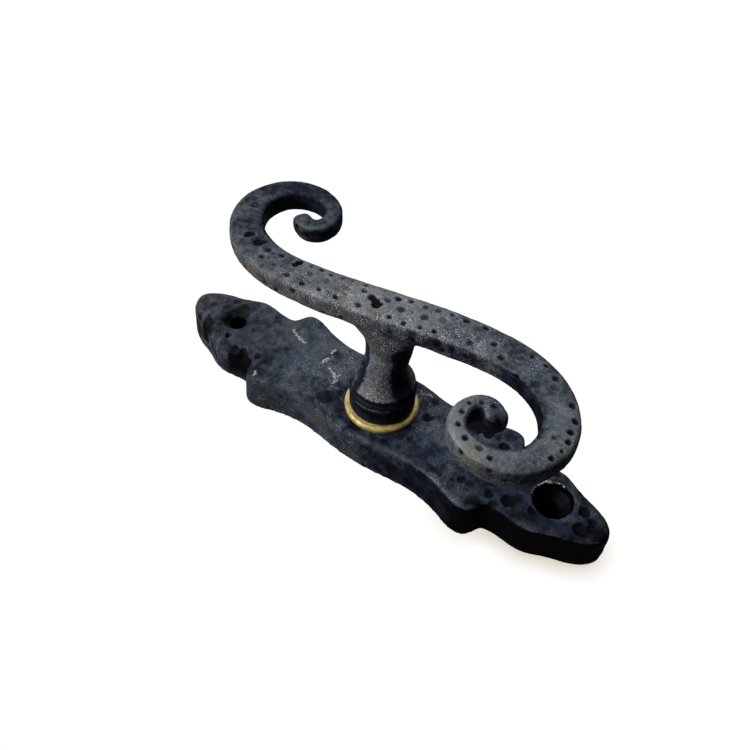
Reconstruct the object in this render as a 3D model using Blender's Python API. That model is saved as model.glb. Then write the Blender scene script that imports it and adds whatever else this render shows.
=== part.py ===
"""Scroll window handle on a long backplate.

Metres, +Z away from the window. The back of the plate is the plane z = 0, the handle turns about
the Z axis, and the plate's length lies along X. Lengths below are written in millimetres and
multiplied by MM.
"""
import math

import bmesh
import bpy
from mathutils import Vector

MM = 0.001
GAP = 0.3 * MM
OVERSHOOT = 1.0 * MM

# Backplate
PLATE_THICKNESS = 13.4 * MM
PLATE_SKIN = 3.5 * MM
PLATE_WALL = 3.2 * MM
PLATE_DRAFT = 0.5 * MM
PLATE_EDGE_RADIUS = 1.5 * MM
PLATE_EDGE_STEPS = 3
CAVITY_HALF_LENGTH = 38.5 * MM
FIXING_HOLE_RADIUS = 2.8 * MM

# The two fixing holes: x, y, radius of the sink, and how deep it goes before it tapers.
# The right one was drilled deeper and a little off the centre line.
FIXINGS = [
    (-62.0 * MM, 0.0, 5.4 * MM, 0.0),
    (61.5 * MM, 1.3 * MM, 6.2 * MM, 2.4 * MM),
]

# One quarter of the plate's outline, from the middle of a long side round to the end:
# a shallow belly, a waist, a pointed ear, a notch, the hump of the end lobe, and the round end.
QUARTER_OUTLINE = [
    (0.0, 15.6), (7.0, 15.3), (14.0, 14.4), (21.0, 13.9), (27.0, 14.4), (32.5, 15.7),
    (36.8, 17.2), (40.3, 17.8), (43.2, 17.0), (45.0, 14.3), (46.2, 12.2), (48.4, 11.7),
    (52.5, 12.0), (57.5, 12.6), (61.5, 12.0), (65.0, 10.4), (68.5, 9.0), (72.5, 7.7),
    (76.4, 5.8), (79.2, 3.3), (80.4, 0.0),
]
OUTLINE_STEPS = 3

# Bearing and the stack of pieces under it
JOURNAL_RADIUS = 8.0 * MM
JOURNAL_FLAT = 6.5 * MM
JOURNAL_END = 0.5 * MM
SLEEVE_RADIUS = 9.7 * MM
FLANGE_RADIUS = 12.0 * MM
FLANGE_THICKNESS = 1.5 * MM
FLANGE_CORNER = 0.5 * MM
BOSS_RADIUS = 12.9 * MM
BOSS_END = 7.0 * MM
WASHER_RADIUS = 10.5 * MM
WAVE_HEIGHT = 0.6 * MM
WAVE_THICKNESS = 0.4 * MM
STOP_THICKNESS = 0.8 * MM
STOP_TAB_RADIUS = 12.0 * MM
STOP_TAB_HALF_ANGLE = math.radians(10.0)
STOP_LUG_RADII = (10.9 * MM, 12.5 * MM)
STOP_LUG_ANGLES = (math.radians(101.6), math.radians(114.0))
STOP_LUG_CLEARANCE = 0.4 * MM
CAM_HALF_WIDTH = 9.0 * MM
CAM_CORNER_RADIUS = 12.0 * MM
CAM_THICKNESS = 2.2 * MM
CLIP_THICKNESS = 0.8 * MM
CLIP_RADIUS = 9.6 * MM
CLIP_GROOVE_RADIUS = 7.1 * MM
CLIP_OPENING = math.radians(50.0)
SOCKET_WIDTH = 7.3 * MM
SOCKET_TOP = 30.0 * MM

# Detent springs
SPRING_THICKNESS = 0.5 * MM
SPRING_LENGTH = 34.0 * MM
SPRING_FOOT_LENGTH = 8.0 * MM
SPRING_FOOT_WIDTH = 7.0 * MM
SPRING_LUG_INSET = 0.6 * MM
SPRING_SCREW_RADIUS = 1.4 * MM
SPRING_SCREW_HEAD_RADIUS = 2.2 * MM
SPRING_SCREW_HEAD_HEIGHT = 1.2 * MM
SPRING_SCREW_DEPTH = 2.0 * MM
SPRING_SCREW_OFFSET = 5.5 * MM
SPRING_SCREW_SLOT = (0.6 * MM, 0.5 * MM)
JOIN_OVERLAP = 0.5 * MM
FACE_OFFSET = 0.02 * MM

# Lever
LEVER_TOP = 58.0 * MM
LEVER_SECTION_POINTS = 24
LEVER_SQUARENESS = 4.6
LEVER_STEPS = 3
TIP_STEPS = 4
TIP_REACH = 0.42
TIP_END_ANGLE = math.radians(83.0)

# Half of the lever, from its middle round its scroll: x, y, width and thickness.
# The other half is this one turned half a turn, apart from its tip.
LEVER_HALF = [
    (0.0, 0.0, 13.2, 7.6), (14.4, 3.2, 13.0, 7.5), (28.7, 5.4, 12.2, 7.4), (40.5, 5.2, 11.7, 7.3),
    (50.6, 1.6, 11.3, 7.3), (57.1, -4.5, 10.8, 7.3), (60.1, -11.3, 10.2, 7.3), (59.7, -17.8, 9.3, 7.3),
    (56.8, -23.4, 8.3, 7.3), (51.9, -26.7, 7.4, 7.3), (45.4, -27.5, 6.5, 7.2), (39.1, -25.0, 5.7, 7.0),
    (36.4, -19.8, 5.3, 6.7),
]
# The two tips differ a little: the right one is the thicker knob.
RIGHT_TIP = [(37.8, -14.9, 5.3, 6.4), (41.3, -13.3, 5.8, 6.4), (44.6, -15.3, 6.4, 6.4)]
LEFT_TIP = [(37.3, -15.2, 5.6, 6.3), (40.5, -13.7, 5.9, 6.0), (43.8, -14.9, 5.8, 5.7)]

# Neck, from the foot up: radius and height above the plate's back.
NECK_PROFILE = [
    (10.3, 15.2), (10.5, 15.6), (10.5, 20.4), (9.95, 20.9), (10.55, 21.3), (10.8, 22.2),
    (10.55, 23.1), (9.7, 23.6), (9.5, 24.3), (10.1, 25.0), (10.0, 25.8), (9.0, 27.2),
    (7.9, 29.2), (7.2, 31.4),
]
# Its top, where it spreads along the lever, further to the right than to the left:
# half length, half width, height, squareness and how far it is moved to the right.
NECK_SPREAD = [
    (6.9, 6.6, 34.0, 2.0, 0.4), (6.9, 6.3, 37.0, 2.0, 0.8), (7.2, 6.2, 40.0, 2.0, 1.1),
    (7.4, 6.3, 42.6, 2.1, 1.2), (7.8, 6.5, 45.0, 2.2, 1.2), (8.7, 6.6, 47.2, 2.5, 1.1),
    (10.6, 6.4, 49.2, 3.0, 0.9), (12.8, 5.4, 51.2, 3.6, 0.4), (10.0, 4.2, 54.0, 3.6, 0.0),
]
LEVER_TURN = math.atan2(LEVER_HALF[1][1], LEVER_HALF[1][0])
ROUND_POINTS = 48
SMOOTH_ANGLE = math.radians(35.0)


def clear_scene():
    for obj in list(bpy.data.objects):
        bpy.data.objects.remove(obj, do_unlink=True)


def finish_material(name, colour, roughness, metallic):
    material = bpy.data.materials.new(name)
    material.use_nodes = True
    shader = material.node_tree.nodes["Principled BSDF"]
    shader.inputs["Base Color"].default_value = (*colour, 1.0)
    shader.inputs["Roughness"].default_value = roughness
    shader.inputs["Metallic"].default_value = metallic
    return material


def cast_iron(name):
    return finish_material(name, (0.022, 0.024, 0.030), 0.55, 0.6)


def brass(name):
    return finish_material(name, (0.72, 0.58, 0.30), 0.35, 1.0)


def spring_steel(name):
    return finish_material(name, (0.20, 0.21, 0.24), 0.35, 1.0)


def zinc_steel(name):
    return finish_material(name, (0.55, 0.56, 0.58), 0.40, 1.0)


def object_from(bm, name, material=None, smooth=True):
    """Turn a bmesh into a named object with outward faces."""
    bmesh.ops.recalc_face_normals(bm, faces=bm.faces)
    mesh = bpy.data.meshes.new(name)
    bm.to_mesh(mesh)
    bm.free()
    obj = bpy.data.objects.new(name, mesh)
    bpy.context.scene.collection.objects.link(obj)
    if material:
        mesh.materials.append(material)
    if smooth:
        mesh.shade_smooth()
        mesh.set_sharp_from_angle(angle=SMOOTH_ANGLE)
    return obj


def cutter_from(bm, name):
    """A guide solid for a Boolean, kept out of the build."""
    obj = object_from(bm, name, smooth=False)
    obj.hide_render = True
    obj.display_type = 'WIRE'
    return obj


def combine(target, tool, operation):
    modifier = target.modifiers.new(tool.name, 'BOOLEAN')
    modifier.object = tool
    modifier.operation = operation
    modifier.solver = 'EXACT'


def catmull_rom(a, b, c, d, t):
    """A point between b and c on the smooth curve through all four, for any number of values."""
    return [
        0.5 * (2 * q + (r - p) * t + (2 * p - 5 * q + 4 * r - s) * t ** 2 + (3 * q - p - 3 * r + s) * t ** 3)
        for p, q, r, s in zip(a, b, c, d)
    ]


def smooth_path(points, steps, closed):
    count = len(points)
    spans = count if closed else count - 1
    path = []
    for i in range(spans):
        if closed:
            around = [points[(i + k) % count] for k in (-1, 0, 1, 2)]
        else:
            around = [points[min(max(i + k, 0), count - 1)] for k in (-1, 0, 1, 2)]
        path += [catmull_rom(*around, step / steps) for step in range(steps)]
    if not closed:
        path.append(list(points[-1]))
    return path


def plate_outline():
    """The whole outline, anticlockwise, from the quarter mirrored in both axes."""
    quarter = [(x * MM, y * MM) for x, y in QUARTER_OUTLINE]
    upper_right = quarter[::-1]
    upper_left = [(-x, y) for x, y in quarter[1:]]
    lower_left = [(-x, -y) for x, y in quarter[-2::-1]]
    lower_right = [(x, -y) for x, y in quarter[1:-1]]
    return smooth_path(upper_right + upper_left + lower_left + lower_right, OUTLINE_STEPS, True)


def offset_outline(outline, distance):
    """Move each point outwards along the outline's normal."""
    moved = []
    for i, point in enumerate(outline):
        before = Vector(outline[i - 1])
        after = Vector(outline[(i + 1) % len(outline)])
        along = (after - before).normalized()
        moved.append((point[0] + along.y * distance, point[1] - along.x * distance))
    return moved


def loft(bm, loops):
    """Skin closed loops of equal length and close both ends."""
    rings = [[bm.verts.new(point) for point in loop] for loop in loops]
    count = len(rings[0])
    for lower, upper in zip(rings, rings[1:]):
        for i in range(count):
            j = (i + 1) % count
            bm.faces.new((lower[i], lower[j], upper[j], upper[i]))
    bm.faces.new(rings[0][::-1])
    bm.faces.new(rings[-1])


def prism(outline, bottom, top):
    bm = bmesh.new()
    loft(bm, [[(x, y, z) for x, y in outline] for z in (bottom, top)])
    return bm


def rounded(value, squareness):
    """A cosine or sine, pushed outwards so that a circle turns into a square with round corners."""
    return math.copysign(abs(value) ** (2 / squareness), value)


def ellipse(half_length, half_width, height, turn=0.0, points=ROUND_POINTS, squareness=2.0):
    loop = []
    for i in range(points):
        angle = 2 * math.pi * i / points - turn
        u = half_length * rounded(math.cos(angle), squareness)
        w = half_width * rounded(math.sin(angle), squareness)
        x = u * math.cos(turn) - w * math.sin(turn)
        y = u * math.sin(turn) + w * math.cos(turn)
        loop.append((x, y, height))
    return loop


def turned(profile, points=ROUND_POINTS):
    """A solid of revolution about Z through (radius, height) pairs."""
    bm = bmesh.new()
    loft(bm, [ellipse(radius, radius, height, points=points) for radius, height in profile])
    return bm


def ring(inner, outer, bottom, top, points=ROUND_POINTS):
    """A flat washer: a closed band whose section is a rectangle."""
    section = [(inner, bottom), (outer, bottom), (outer, top), (inner, top)]
    return swept_ring(section, points, lambda angle: 0.0)


def swept_ring(section, points, lift):
    """Sweep a section of (radius, height) pairs round Z, raised by lift(angle)."""
    bm = bmesh.new()
    stations = []
    for i in range(points):
        angle = 2 * math.pi * i / points
        stations.append([
            bm.verts.new((r * math.cos(angle), r * math.sin(angle), z + lift(angle))) for r, z in section
        ])
    size = len(section)
    for i in range(points):
        here, there = stations[i], stations[(i + 1) % points]
        for k in range(size):
            m = (k + 1) % size
            bm.faces.new((here[k], there[k], there[m], here[m]))
    return bm


def half_width_at(x):
    """The plate's half width at a distance from its middle."""
    x = abs(x) / MM
    for (x0, y0), (x1, y1) in zip(QUARTER_OUTLINE, QUARTER_OUTLINE[1:]):
        if x0 <= x <= x1:
            return (y0 + (y1 - y0) * (x - x0) / (x1 - x0)) * MM
    raise ValueError("outside the plate")


def cavity_outline():
    spans = 14
    xs = [CAVITY_HALF_LENGTH * (2 * i / spans - 1) for i in range(spans + 1)]
    lower = [(x, -(half_width_at(x) - PLATE_WALL)) for x in xs]
    upper = [(x, half_width_at(x) - PLATE_WALL) for x in reversed(xs)]
    return lower + upper


def make_backplate():
    outline = plate_outline()
    loops = [[(x, y, 0.0) for x, y in offset_outline(outline, PLATE_DRAFT)]]
    for step in range(PLATE_EDGE_STEPS + 1):
        angle = 0.5 * math.pi * step / PLATE_EDGE_STEPS
        inset = PLATE_EDGE_RADIUS * (1 - math.cos(angle))
        z = PLATE_THICKNESS - PLATE_EDGE_RADIUS * (1 - math.sin(angle))
        loops.append([(x, y, z) for x, y in offset_outline(outline, -inset)])
    bm = bmesh.new()
    loft(bm, loops)
    plate = object_from(bm, "backplate", cast_iron("backplate_iron"))

    skin_under = PLATE_THICKNESS - PLATE_SKIN
    cavity = prism(cavity_outline(), -OVERSHOOT, skin_under)
    combine(plate, cutter_from(cavity, "cavity_cutter"), 'DIFFERENCE')
    boss = turned([(BOSS_RADIUS, BOSS_END), (BOSS_RADIUS, skin_under + OVERSHOOT)])
    combine(plate, cutter_from(boss, "boss_guide"), 'UNION')
    for side in (-1, 1):
        combine(plate, stop_lug(side), 'UNION')
    bore_radius = SLEEVE_RADIUS + GAP
    bore = turned([(bore_radius, BOSS_END - OVERSHOOT), (bore_radius, PLATE_THICKNESS + OVERSHOOT)])
    combine(plate, cutter_from(bore, "bore_cutter"), 'DIFFERENCE')
    for fixing in FIXINGS:
        combine(plate, fixing_cutter(*fixing), 'DIFFERENCE')
    for side in (-1, 1):
        combine(plate, spring_screw_cutter(side), 'DIFFERENCE')
    return plate


def arc_points(radius, start, end, steps):
    angles = [start + (end - start) * i / steps for i in range(steps + 1)]
    return [(radius * math.cos(a), radius * math.sin(a)) for a in angles]


def stop_lug(side):
    """A lug on the boss that the stop washer's tab meets after a quarter turn."""
    start, end = (side * angle for angle in STOP_LUG_ANGLES)
    inner, outer = STOP_LUG_RADII
    outline = arc_points(inner, start, end, 3) + arc_points(outer, end, start, 3)
    bottom = cam_top() + STOP_LUG_CLEARANCE
    return cutter_from(prism(outline, bottom, BOSS_END + OVERSHOOT), "stop_lug_guide")


def fixing_cutter(x, y, sink_radius, sink_depth):
    """A screw hole with a sink for the screw's head."""
    sink_bottom = PLATE_THICKNESS - sink_depth
    profile = [
        (FIXING_HOLE_RADIUS, -OVERSHOOT),
        (FIXING_HOLE_RADIUS, sink_bottom - (sink_radius - FIXING_HOLE_RADIUS)),
        (sink_radius, sink_bottom),
        (sink_radius, PLATE_THICKNESS + OVERSHOOT),
    ]
    bm = turned(profile, points=32)
    bmesh.ops.translate(bm, verts=bm.verts, vec=(x, y, 0.0))
    return cutter_from(bm, "fixing_cutter")


def spring_screw_place(side):
    """The middle of a detent spring's foot, near the end of the cavity."""
    x = side * (0.5 * SPRING_LENGTH + 0.5 * SPRING_FOOT_LENGTH)
    return x, side * SPRING_SCREW_OFFSET


def spring_screw_cutter(side):
    x, y = spring_screw_place(side)
    skin_under = PLATE_THICKNESS - PLATE_SKIN
    radius = SPRING_SCREW_RADIUS + GAP
    ends = (skin_under - OVERSHOOT, skin_under + SPRING_SCREW_DEPTH + GAP)
    bm = turned([(radius, z) for z in ends], points=20)
    bmesh.ops.translate(bm, verts=bm.verts, vec=(x, y, 0.0))
    return cutter_from(bm, "spring_screw_cutter")


def lever_stations():
    right = LEVER_HALF + RIGHT_TIP
    left = [(-x, -y, width, depth) for x, y, width, depth in LEVER_HALF + LEFT_TIP]
    stations = [tuple(value * MM for value in station) for station in left[:0:-1] + right]
    return smooth_path(stations, LEVER_STEPS, False)


def lever_section(x, y, across, width, depth, top):
    """A rectangle with round corners, square to the lever's path."""
    loop = []
    for i in range(LEVER_SECTION_POINTS):
        angle = 2 * math.pi * (i + 0.5) / LEVER_SECTION_POINTS
        u = 0.5 * width * rounded(math.cos(angle), LEVER_SQUARENESS)
        w = 0.5 * depth * rounded(math.sin(angle), LEVER_SQUARENESS)
        loop.append((x + across.x * u, y + across.y * u, top - 0.5 * depth + w))
    return loop


def rounded_end(station, along, across):
    """Sections that close a tip with a round nose."""
    x, y, width, depth = station
    loops = []
    for step in range(1, TIP_STEPS + 1):
        angle = TIP_END_ANGLE * step / TIP_STEPS
        reach = TIP_REACH * width * math.sin(angle)
        shrink = math.cos(angle)
        top = LEVER_TOP - 0.5 * depth * (1 - shrink)
        loops.append(lever_section(
            x + along.x * reach, y + along.y * reach, across, width * shrink, depth * shrink, top))
    return loops


def make_lever_body():
    stations = lever_stations()
    loops = []
    for i, (x, y, width, depth) in enumerate(stations):
        before = stations[max(i - 1, 0)]
        after = stations[min(i + 1, len(stations) - 1)]
        along = Vector((after[0] - before[0], after[1] - before[1])).normalized()
        across = Vector((-along.y, along.x))
        if i == 0:
            loops += rounded_end(stations[i], -along, across)[::-1]
        loops.append(lever_section(x, y, across, width, depth, LEVER_TOP))
        if i == len(stations) - 1:
            loops += rounded_end(stations[i], along, across)
    bm = bmesh.new()
    loft(bm, loops)
    return bm


def make_neck_body():
    """Journal, turned neck, and the top that spreads along the lever."""
    foot = NECK_PROFILE[0][1] * MM
    loops = [ellipse(JOURNAL_RADIUS, JOURNAL_RADIUS, z) for z in (JOURNAL_END, foot)]
    loops += [ellipse(r * MM, r * MM, z * MM) for r, z in NECK_PROFILE]
    for half_length, half_width, height, squareness, shift in NECK_SPREAD:
        size = (half_length * MM, half_width * MM, height * MM)
        shift_x, shift_y = shift * MM * math.cos(LEVER_TURN), shift * MM * math.sin(LEVER_TURN)
        loop = ellipse(*size, LEVER_TURN, squareness=squareness)
        loops.append([(x + shift_x, y + shift_y, z) for x, y, z in loop])
    bm = bmesh.new()
    loft(bm, loops)
    return bm


def journal_flats():
    """Two blocks that leave flats on the lower journal, where the stop washer and the cam sit."""
    flat_top = stop_top() + GAP
    width = 2 * JOURNAL_RADIUS
    blocks = []
    for side in (-1, 1):
        low, high = sorted((side * JOURNAL_FLAT, side * width))
        outline = [(-width, low), (width, low), (width, high), (-width, high)]
        blocks.append(cutter_from(prism(outline, -OVERSHOOT, flat_top), "journal_flat_cutter"))
    return blocks


def stop_top():
    return BOSS_END - GAP - WAVE_HEIGHT - WAVE_THICKNESS - GAP


def cam_top():
    return stop_top() - STOP_THICKNESS - GAP


def cam_bottom():
    return cam_top() - CAM_THICKNESS


def clip_top():
    return cam_bottom() - GAP


def make_scroll_handle():
    handle = object_from(make_lever_body(), "scroll_handle", cast_iron("handle_iron"))
    combine(handle, cutter_from(make_neck_body(), "neck_guide"), 'UNION')
    for block in journal_flats():
        combine(handle, block, 'DIFFERENCE')
    groove = ring(CLIP_GROOVE_RADIUS, 2 * JOURNAL_RADIUS, clip_top() - CLIP_THICKNESS - 0.5 * GAP,
                  clip_top() + 0.5 * GAP)
    combine(handle, cutter_from(groove, "clip_groove_cutter"), 'DIFFERENCE')
    half = 0.5 * SOCKET_WIDTH
    square = [(-half, -half), (half, -half), (half, half), (-half, half)]
    combine(handle, cutter_from(prism(square, -OVERSHOOT, SOCKET_TOP), "socket_cutter"), 'DIFFERENCE')
    return handle


def make_brass_bush():
    """A sleeve in the plate's bore with a rounded flange on the plate's face."""
    inner = JOURNAL_RADIUS + GAP
    face = PLATE_THICKNESS + GAP
    top = face + FLANGE_THICKNESS - GAP
    corner = FLANGE_CORNER
    halfway = corner * (1 - math.sqrt(0.5))
    section = [
        (inner, BOSS_END), (SLEEVE_RADIUS, BOSS_END), (SLEEVE_RADIUS, face), (FLANGE_RADIUS, face),
        (FLANGE_RADIUS, top - corner), (FLANGE_RADIUS - halfway, top - halfway),
        (FLANGE_RADIUS - corner, top), (inner, top),
    ]
    bm = swept_ring(section, ROUND_POINTS, lambda angle: 0.0)
    return object_from(bm, "brass_bush", brass("bush_brass"))


def make_wave_washer():
    bottom = stop_top() + GAP
    section = [
        (JOURNAL_RADIUS + GAP, bottom), (WASHER_RADIUS, bottom),
        (WASHER_RADIUS, bottom + WAVE_THICKNESS), (JOURNAL_RADIUS + GAP, bottom + WAVE_THICKNESS),
    ]
    waves = 3
    bm = swept_ring(section, 60, lambda angle: 0.5 * WAVE_HEIGHT * (1 + math.cos(waves * angle)))
    return object_from(bm, "wave_washer", spring_steel("wave_steel"))


def flats_cutter(name):
    """A hole that fits the journal's flats."""
    outline = double_flat_outline(JOURNAL_RADIUS + GAP, JOURNAL_FLAT + GAP)
    return cutter_from(prism(outline, 0.0, PLATE_THICKNESS), name)


def make_stop_washer():
    """A washer that turns with the journal, with a tab that meets the boss's stop lugs."""
    tab = STOP_TAB_HALF_ANGLE
    outline = arc_points(STOP_TAB_RADIUS, -tab, tab, 2)
    outline += arc_points(WASHER_RADIUS, tab, 2 * math.pi - tab, 40)
    washer = object_from(prism(outline, stop_top() - STOP_THICKNESS, stop_top()), "stop_washer",
                         zinc_steel("stop_steel"))
    combine(washer, flats_cutter("stop_hole_cutter"), 'DIFFERENCE')
    return washer


def double_flat_outline(radius, flat, points=ROUND_POINTS):
    """A circle with two flats, as on the lower journal."""
    outline = []
    for i in range(points):
        angle = 2 * math.pi * (i + 0.5) / points
        y = max(-flat, min(flat, radius * math.sin(angle)))
        outline.append((radius * math.cos(angle), y))
    return outline


def make_index_cam():
    """A square with its corners turned round, and a hole that fits the journal's flats."""
    quarter = 0.5 * math.pi
    corner = math.acos(CAM_HALF_WIDTH / CAM_CORNER_RADIUS)
    outline = []
    for i in range(4):
        outline += arc_points(CAM_CORNER_RADIUS, quarter * i + corner, quarter * (i + 1) - corner, 4)
    cam = object_from(prism(outline, cam_bottom(), cam_top()), "index_cam", zinc_steel("cam_steel"))
    combine(cam, flats_cutter("cam_hole_cutter"), 'DIFFERENCE')
    return cam


def make_detent_spring(name, side):
    """A leaf on edge along one flat of the cam, with a flat foot screwed under the plate's skin."""
    skin_under = PLATE_THICKNESS - PLATE_SKIN
    y_inner = CAM_HALF_WIDTH + GAP
    y_outer = y_inner + SPRING_THICKNESS
    half = 0.5 * SPRING_LENGTH
    foot_end = half + SPRING_FOOT_LENGTH
    leaf = [(-half, y_inner), (foot_end, y_inner), (foot_end, y_outer), (-half, y_outer)]
    bm = prism([(side * x, side * y) for x, y in leaf], cam_bottom(), cam_top())
    spring = object_from(bm, name, spring_steel(name + "_steel"))

    foot_top = skin_under - GAP
    foot_start = half + SPRING_LUG_INSET
    lug = [(foot_start, y_inner), (foot_end, y_inner), (foot_end, y_outer), (foot_start, y_outer)]
    upright = prism([(side * x, side * y) for x, y in lug], cam_top() - JOIN_OVERLAP, foot_top)
    combine(spring, cutter_from(upright, name + "_lug_guide"), 'UNION')
    foot_inner = y_outer - SPRING_FOOT_WIDTH
    foot_outer = y_outer - FACE_OFFSET
    foot = [
        (foot_start, foot_inner), (foot_end, foot_inner), (foot_end, foot_outer), (foot_start, foot_outer),
    ]
    flat = prism([(side * x, side * y) for x, y in foot], foot_top - SPRING_THICKNESS, foot_top - FACE_OFFSET)
    combine(spring, cutter_from(flat, name + "_foot_guide"), 'UNION')
    x, y = spring_screw_place(side)
    radius = SPRING_SCREW_RADIUS + GAP
    hole = turned([(radius, foot_top - 2 * SPRING_THICKNESS), (radius, foot_top + OVERSHOOT)], points=20)
    bmesh.ops.translate(hole, verts=hole.verts, vec=(x, y, 0.0))
    combine(spring, cutter_from(hole, name + "_hole_cutter"), 'DIFFERENCE')
    return spring


def make_spring_screw(name, side):
    """A cheese-headed screw up into the plate's skin."""
    skin_under = PLATE_THICKNESS - PLATE_SKIN
    head_top = skin_under - 2 * GAP - SPRING_THICKNESS
    profile = [
        (SPRING_SCREW_HEAD_RADIUS, head_top - SPRING_SCREW_HEAD_HEIGHT),
        (SPRING_SCREW_HEAD_RADIUS, head_top),
        (SPRING_SCREW_RADIUS, head_top),
        (SPRING_SCREW_RADIUS, skin_under + SPRING_SCREW_DEPTH),
    ]
    screw = object_from(turned(profile, points=20), name, zinc_steel(name + "_steel"))
    x, y = spring_screw_place(side)
    screw.location = (x, y, 0.0)
    slot_width, slot_depth = SPRING_SCREW_SLOT
    half_slot = 0.5 * slot_width
    reach = SPRING_SCREW_HEAD_RADIUS + OVERSHOOT
    slot_outline = [(-reach, -half_slot), (reach, -half_slot), (reach, half_slot), (-reach, half_slot)]
    head_bottom = head_top - SPRING_SCREW_HEAD_HEIGHT
    slot_body = prism(slot_outline, head_bottom - OVERSHOOT, head_bottom + slot_depth)
    slot = cutter_from(slot_body, name + "_slot_cutter")
    slot.location = screw.location
    combine(screw, slot, 'DIFFERENCE')
    return screw


def make_retaining_clip():
    """An open ring in the journal's groove."""
    top = clip_top()
    bm = bmesh.new()
    points = 32
    start = 0.5 * CLIP_OPENING
    sweep = 2 * math.pi - CLIP_OPENING
    inner = CLIP_GROOVE_RADIUS + GAP
    bottom = top - CLIP_THICKNESS
    section = [(inner, bottom), (CLIP_RADIUS, bottom), (CLIP_RADIUS, top), (inner, top)]
    loops = []
    for i in range(points + 1):
        angle = start + sweep * i / points
        loops.append([(r * math.cos(angle), r * math.sin(angle), z) for r, z in section])
    loft(bm, loops)
    return object_from(bm, "retaining_clip", spring_steel("clip_steel"))


def gather_turning_pieces(pieces):
    """Hang the turning pieces on an empty that lies on the joint's axis."""
    axis = bpy.data.objects.new("turning_axis", None)
    bpy.context.scene.collection.objects.link(axis)
    for piece in pieces:
        piece.parent = axis


def main():
    clear_scene()
    make_backplate()
    make_brass_bush()
    make_wave_washer()
    for name, side in (("left", -1), ("right", 1)):
        make_detent_spring("detent_spring_" + name, side)
        make_spring_screw("spring_screw_" + name, side)
    gather_turning_pieces([make_scroll_handle(), make_stop_washer(), make_index_cam(), make_retaining_clip()])


main()
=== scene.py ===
"""Looks for the scroll window handle: two hammered iron castings, a brass bush, and the studio.

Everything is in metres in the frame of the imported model, with +Z away from the window. Lengths
below are written in millimetres and multiplied by MM.
"""
import math
import random

import bmesh
import bpy
import numpy as np
from mathutils import Matrix, Vector, kdtree, noise


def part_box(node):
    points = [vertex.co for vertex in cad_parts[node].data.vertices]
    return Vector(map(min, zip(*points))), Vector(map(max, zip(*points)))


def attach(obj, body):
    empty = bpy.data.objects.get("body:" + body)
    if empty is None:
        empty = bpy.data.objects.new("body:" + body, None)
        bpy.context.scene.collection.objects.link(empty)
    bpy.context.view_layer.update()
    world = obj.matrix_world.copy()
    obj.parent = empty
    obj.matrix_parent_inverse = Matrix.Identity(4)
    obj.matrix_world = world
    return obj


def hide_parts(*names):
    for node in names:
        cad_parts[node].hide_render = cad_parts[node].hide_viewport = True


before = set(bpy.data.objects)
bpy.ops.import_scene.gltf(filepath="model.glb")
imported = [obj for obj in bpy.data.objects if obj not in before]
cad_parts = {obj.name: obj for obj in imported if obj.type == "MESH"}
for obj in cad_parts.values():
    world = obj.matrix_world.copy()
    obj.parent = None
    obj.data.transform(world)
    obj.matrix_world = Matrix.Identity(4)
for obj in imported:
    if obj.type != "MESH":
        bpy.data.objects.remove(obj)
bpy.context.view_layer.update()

MM = 0.001

# Camera: its turn about the object, its height as an angle, its roll, and its distance from a point
# on the floor
CAMERA_AZIMUTH = math.radians(33.60)
CAMERA_ELEVATION = math.radians(49.12)
CAMERA_ROLL = math.radians(3.31)
CAMERA_DISTANCE = 0.29495
CAMERA_TARGET = Vector((-0.01522, 0.01798, 0.0))
CAMERA_LENS = 40.30
CAMERA_SENSOR = 36.0
CAMERA_NEAR_CLIP = 5.0 * MM

# Studio. The floor is bright to the eye and dull to the object, which stands on white in soft light.
FLOOR_SIZE = 6.0
FLOOR_DROP = 0.02 * MM
FLOOR_BOUNCE = (0.125, 0.120, 0.110)
FLOOR_GLOW_COLOUR = (1.0, 1.0, 0.995)
FLOOR_GLOW = 1.02
# Soft contact shade: how far it reaches, the range of openness that it spans, where it fades in
# along x and along y, and its colour
CONTACT_REACH = 7.0 * MM
CONTACT_RANGE = (0.45, 0.97)
CONTACT_RIGHT = (25.0 * MM, 50.0 * MM)
CONTACT_FAR = (2.0 * MM, 10.0 * MM)
CONTACT_COLOUR = (0.70, 0.66, 0.57)
# Half sizes of the patch of floor hidden under the plate, which does not glow: it stays black as painted
# shade seen up the plate's screw holes.
COVERED_FLOOR = (66.0 * MM, 5.0 * MM)
WORLD_COLOUR = (0.90, 0.95, 1.0)
WORLD_LIGHT = 0.035
LAMP_DISTANCE = 0.9
# Name, direction, size, power and colour of each soft light
LAMPS = [
    ("key", (-0.72, -0.74, 0.80), 0.70, 11.5, (1.0, 0.985, 0.96)),
    ("top", (-0.25, 0.50, 1.0), 0.6, 4.4, (0.90, 0.95, 1.0)),
]

# Meshing of the castings, and how far and how often points move towards their neighbours
HANDLE_VOXEL = 0.36 * MM
PLATE_VOXEL = 0.43 * MM
WELD_DISTANCE = 0.01 * MM
RELAX_SHARE = 0.5
CASTING_ROUNDS = 2
LEVER_ROUNDS = 9
FILLET_ROUNDS = 40
LEFT_SINK_ROUNDS = 40
LOWER_EDGE_ROUNDS = 90
# Rounds of smoothing that a point is compared with to find raised edges, and their height's unit
EDGE_ROUNDS = 10
EDGE_UNIT = 0.1 * MM

# Slope, as the normal's z, over which a side turns into a top
TOP_FACING = (0.30, 0.75)

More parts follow.
